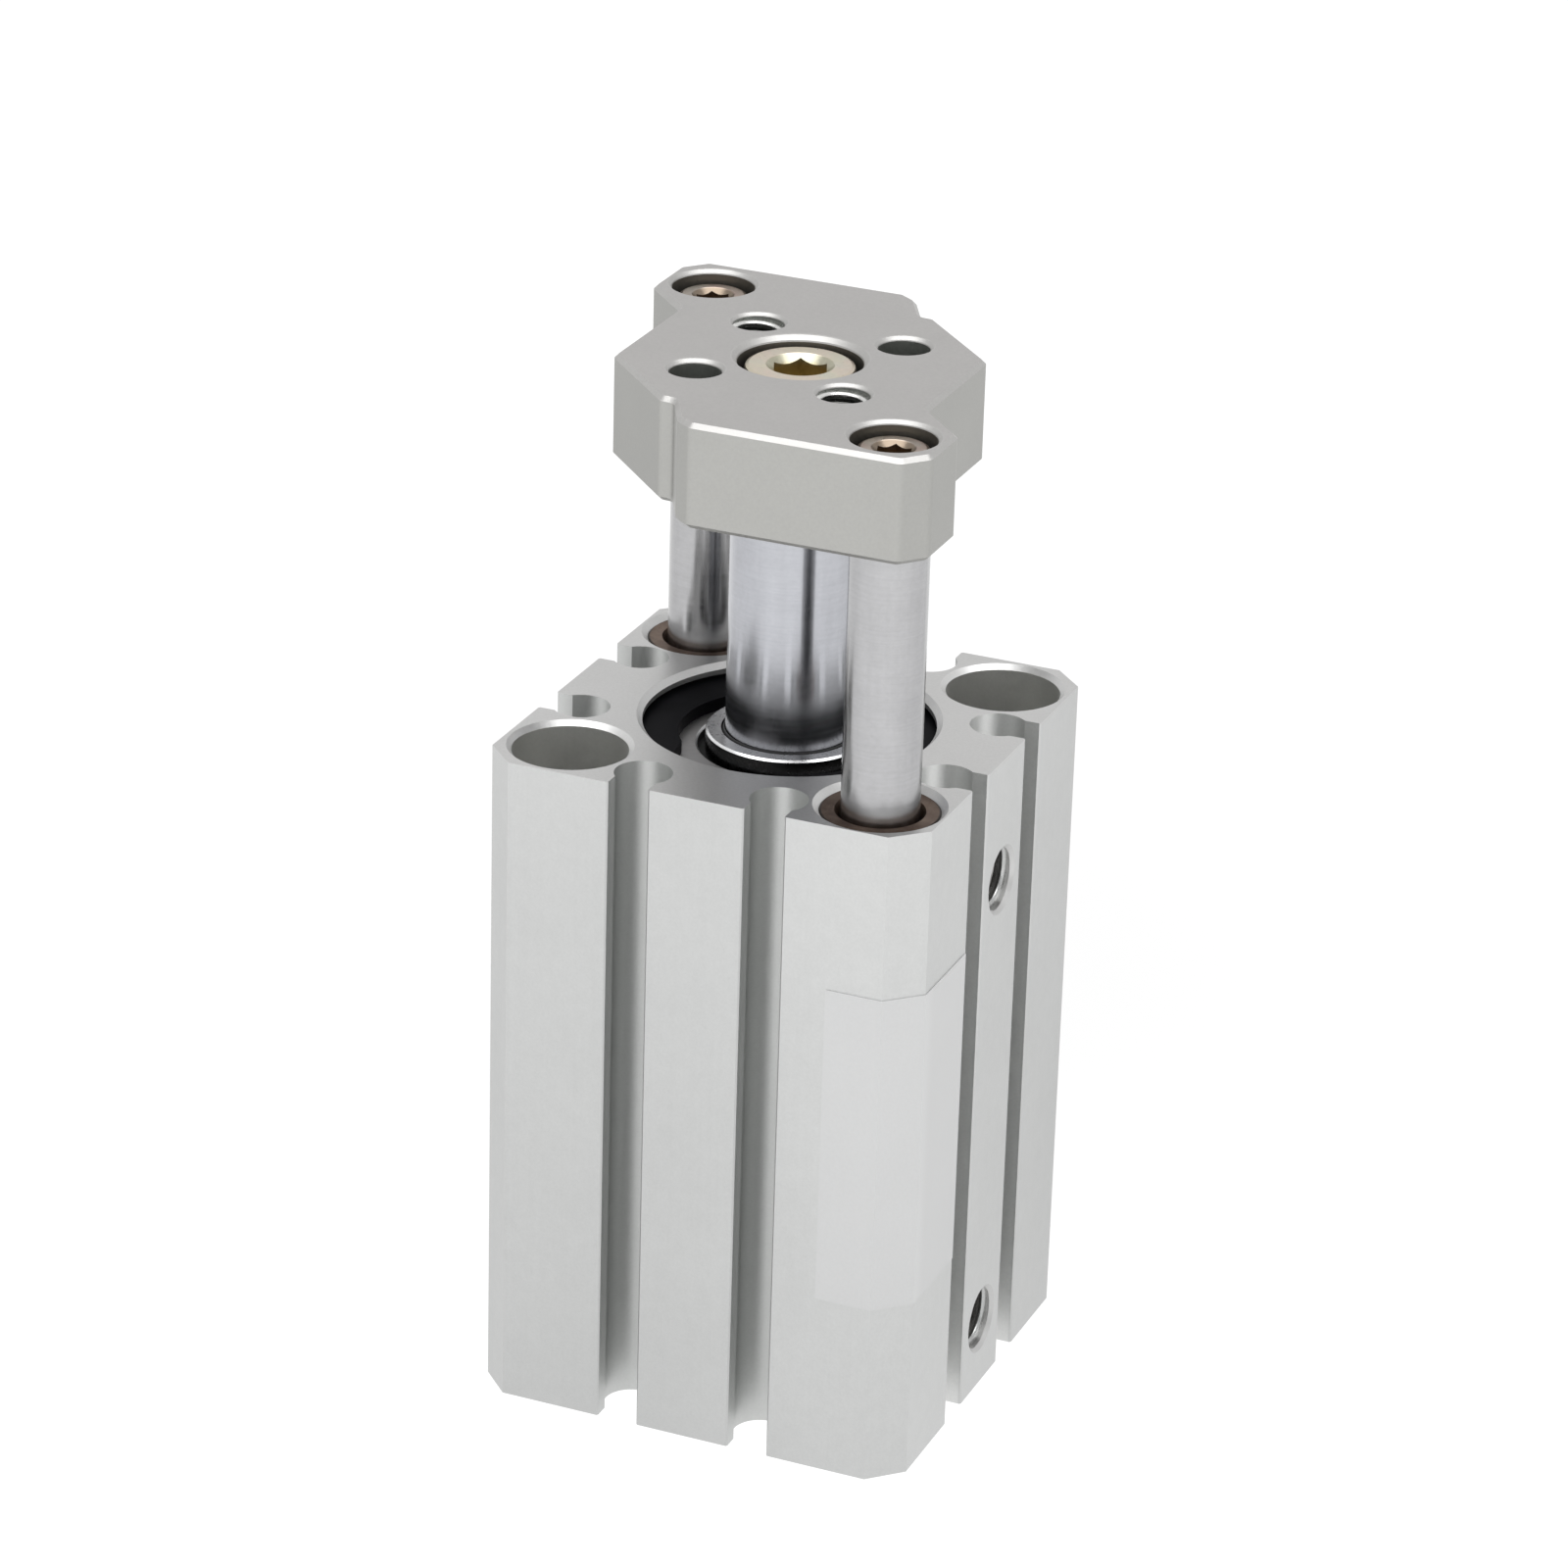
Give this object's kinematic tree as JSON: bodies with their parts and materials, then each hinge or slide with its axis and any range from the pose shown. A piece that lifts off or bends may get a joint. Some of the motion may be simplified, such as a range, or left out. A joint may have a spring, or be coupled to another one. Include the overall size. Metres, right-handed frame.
{
  "type": "guided pneumatic cylinder",
  "caption": "Square compact pneumatic cylinder with diagonal guide rods and a lobed end plate, side air ports, counterbored mounting holes and sensor grooves.",
  "frame": {"origin": "centre of the cylinder tube's bottom face", "axes": "+Z along the stroke, from the tube to the end plate; -Y is the broad front face; +X is the face with the two air ports"},
  "size_m": [0.0361, 0.0361, 0.0838],
  "materials": {
    "tube_anodised": "satin clear anodised, sharp machined edges",
    "collar_aluminium": "turned, clear anodised",
    "black_steel": "black phosphate spring steel",
    "seal_rubber": "black nitrile rubber",
    "sintered_bronze": "oil-impregnated sintered bronze, dull dark brown",
    "label_film": "thin silvery film, unprinted",
    "piston_aluminium": "turned",
    "magnet": "plastic bonded magnet, dark grey",
    "bumper_urethane": "urethane rubber",
    "chromed_steel": "ground, hard chromed and polished",
    "guide_steel": "ground and polished stainless steel",
    "plate_aluminium": "satin anodised with bright machined countersinks",
    "screw_steel": "zinc plated, faintly yellow"
  },
  "bodies": {
    "housing": {"cylinder_tube": "tube_anodised", "rod_collar": "collar_aluminium", "retaining_ring": "black_steel", "collar_o_ring": "seal_rubber", "rod_seal": "seal_rubber", "upper_bushing_front": "sintered_bronze", "upper_bushing_back": "sintered_bronze", "lower_bushing_front": "sintered_bronze", "lower_bushing_back": "sintered_bronze", "side_label": "label_film"},
    "rod_group": {"piston": "piston_aluminium", "piston_seal": "seal_rubber", "magnet_ring": "magnet", "head_bumper": "bumper_urethane", "rod_bumper": "bumper_urethane", "piston_rod": "chromed_steel", "guide_rod_front": "guide_steel", "guide_rod_back": "guide_steel", "end_plate": "plate_aluminium", "plate_bolt": "screw_steel", "guide_bolt_front": "screw_steel", "guide_bolt_back": "screw_steel"}
  },
  "joints": [
    {"name": "rod_stroke", "type": "slide", "parent": "housing", "child": "rod_group", "axis": [0, 0, 1], "range_m": [-0.0168, 0.0082]}
  ]
}
